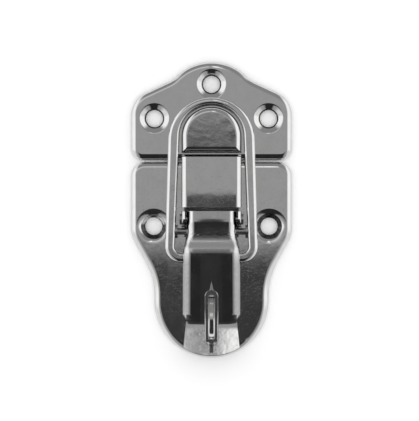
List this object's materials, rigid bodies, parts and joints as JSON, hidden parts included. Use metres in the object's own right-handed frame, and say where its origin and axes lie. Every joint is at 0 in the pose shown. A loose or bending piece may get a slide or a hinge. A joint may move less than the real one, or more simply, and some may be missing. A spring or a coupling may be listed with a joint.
{
  "type": "toggle catch",
  "caption": "Pressed steel toggle catch for a case: a lever draws a ring-shaped bail over a domed catch plate, with a staple for a padlock.",
  "frame": {"origin": "centre of the closed catch on the mounting face, where the plates' rims bear on the case", "axes": "+Z away from the case, +Y from the base plate towards the catch plate, +X to the right"},
  "size_m": [0.049, 0.09, 0.014],
  "materials": {
    "nickel_plate": "bright plating, lightly scuffed",
    "pin_steel": "bright plating"
  },
  "bodies": {
    "plates": {"catch_plate": "nickel_plate", "base_plate": "nickel_plate", "padlock_staple": "nickel_plate", "lever_pin": "pin_steel"},
    "lever": {"lever": "nickel_plate"},
    "bail": {"bail": "nickel_plate", "bail_pin_left": "pin_steel", "bail_pin_right": "pin_steel"}
  },
  "joints": [
    {"name": "lever_lift", "type": "hinge", "parent": "plates", "child": "lever", "pos_m": [0, -0.0028, 0.005], "axis": [-1, 0, 0], "range_deg": [0, 105]},
    {"name": "bail_swing", "type": "hinge", "parent": "lever", "child": "bail", "pos_m": [0, -0.0065, 0.004], "axis": [-1, 0, 0], "range_deg": [-126, 0]}
  ],
  "couplings": [
    {"joint": "bail_swing", "follows": "lever_lift", "ratio": -1.2}
  ]
}
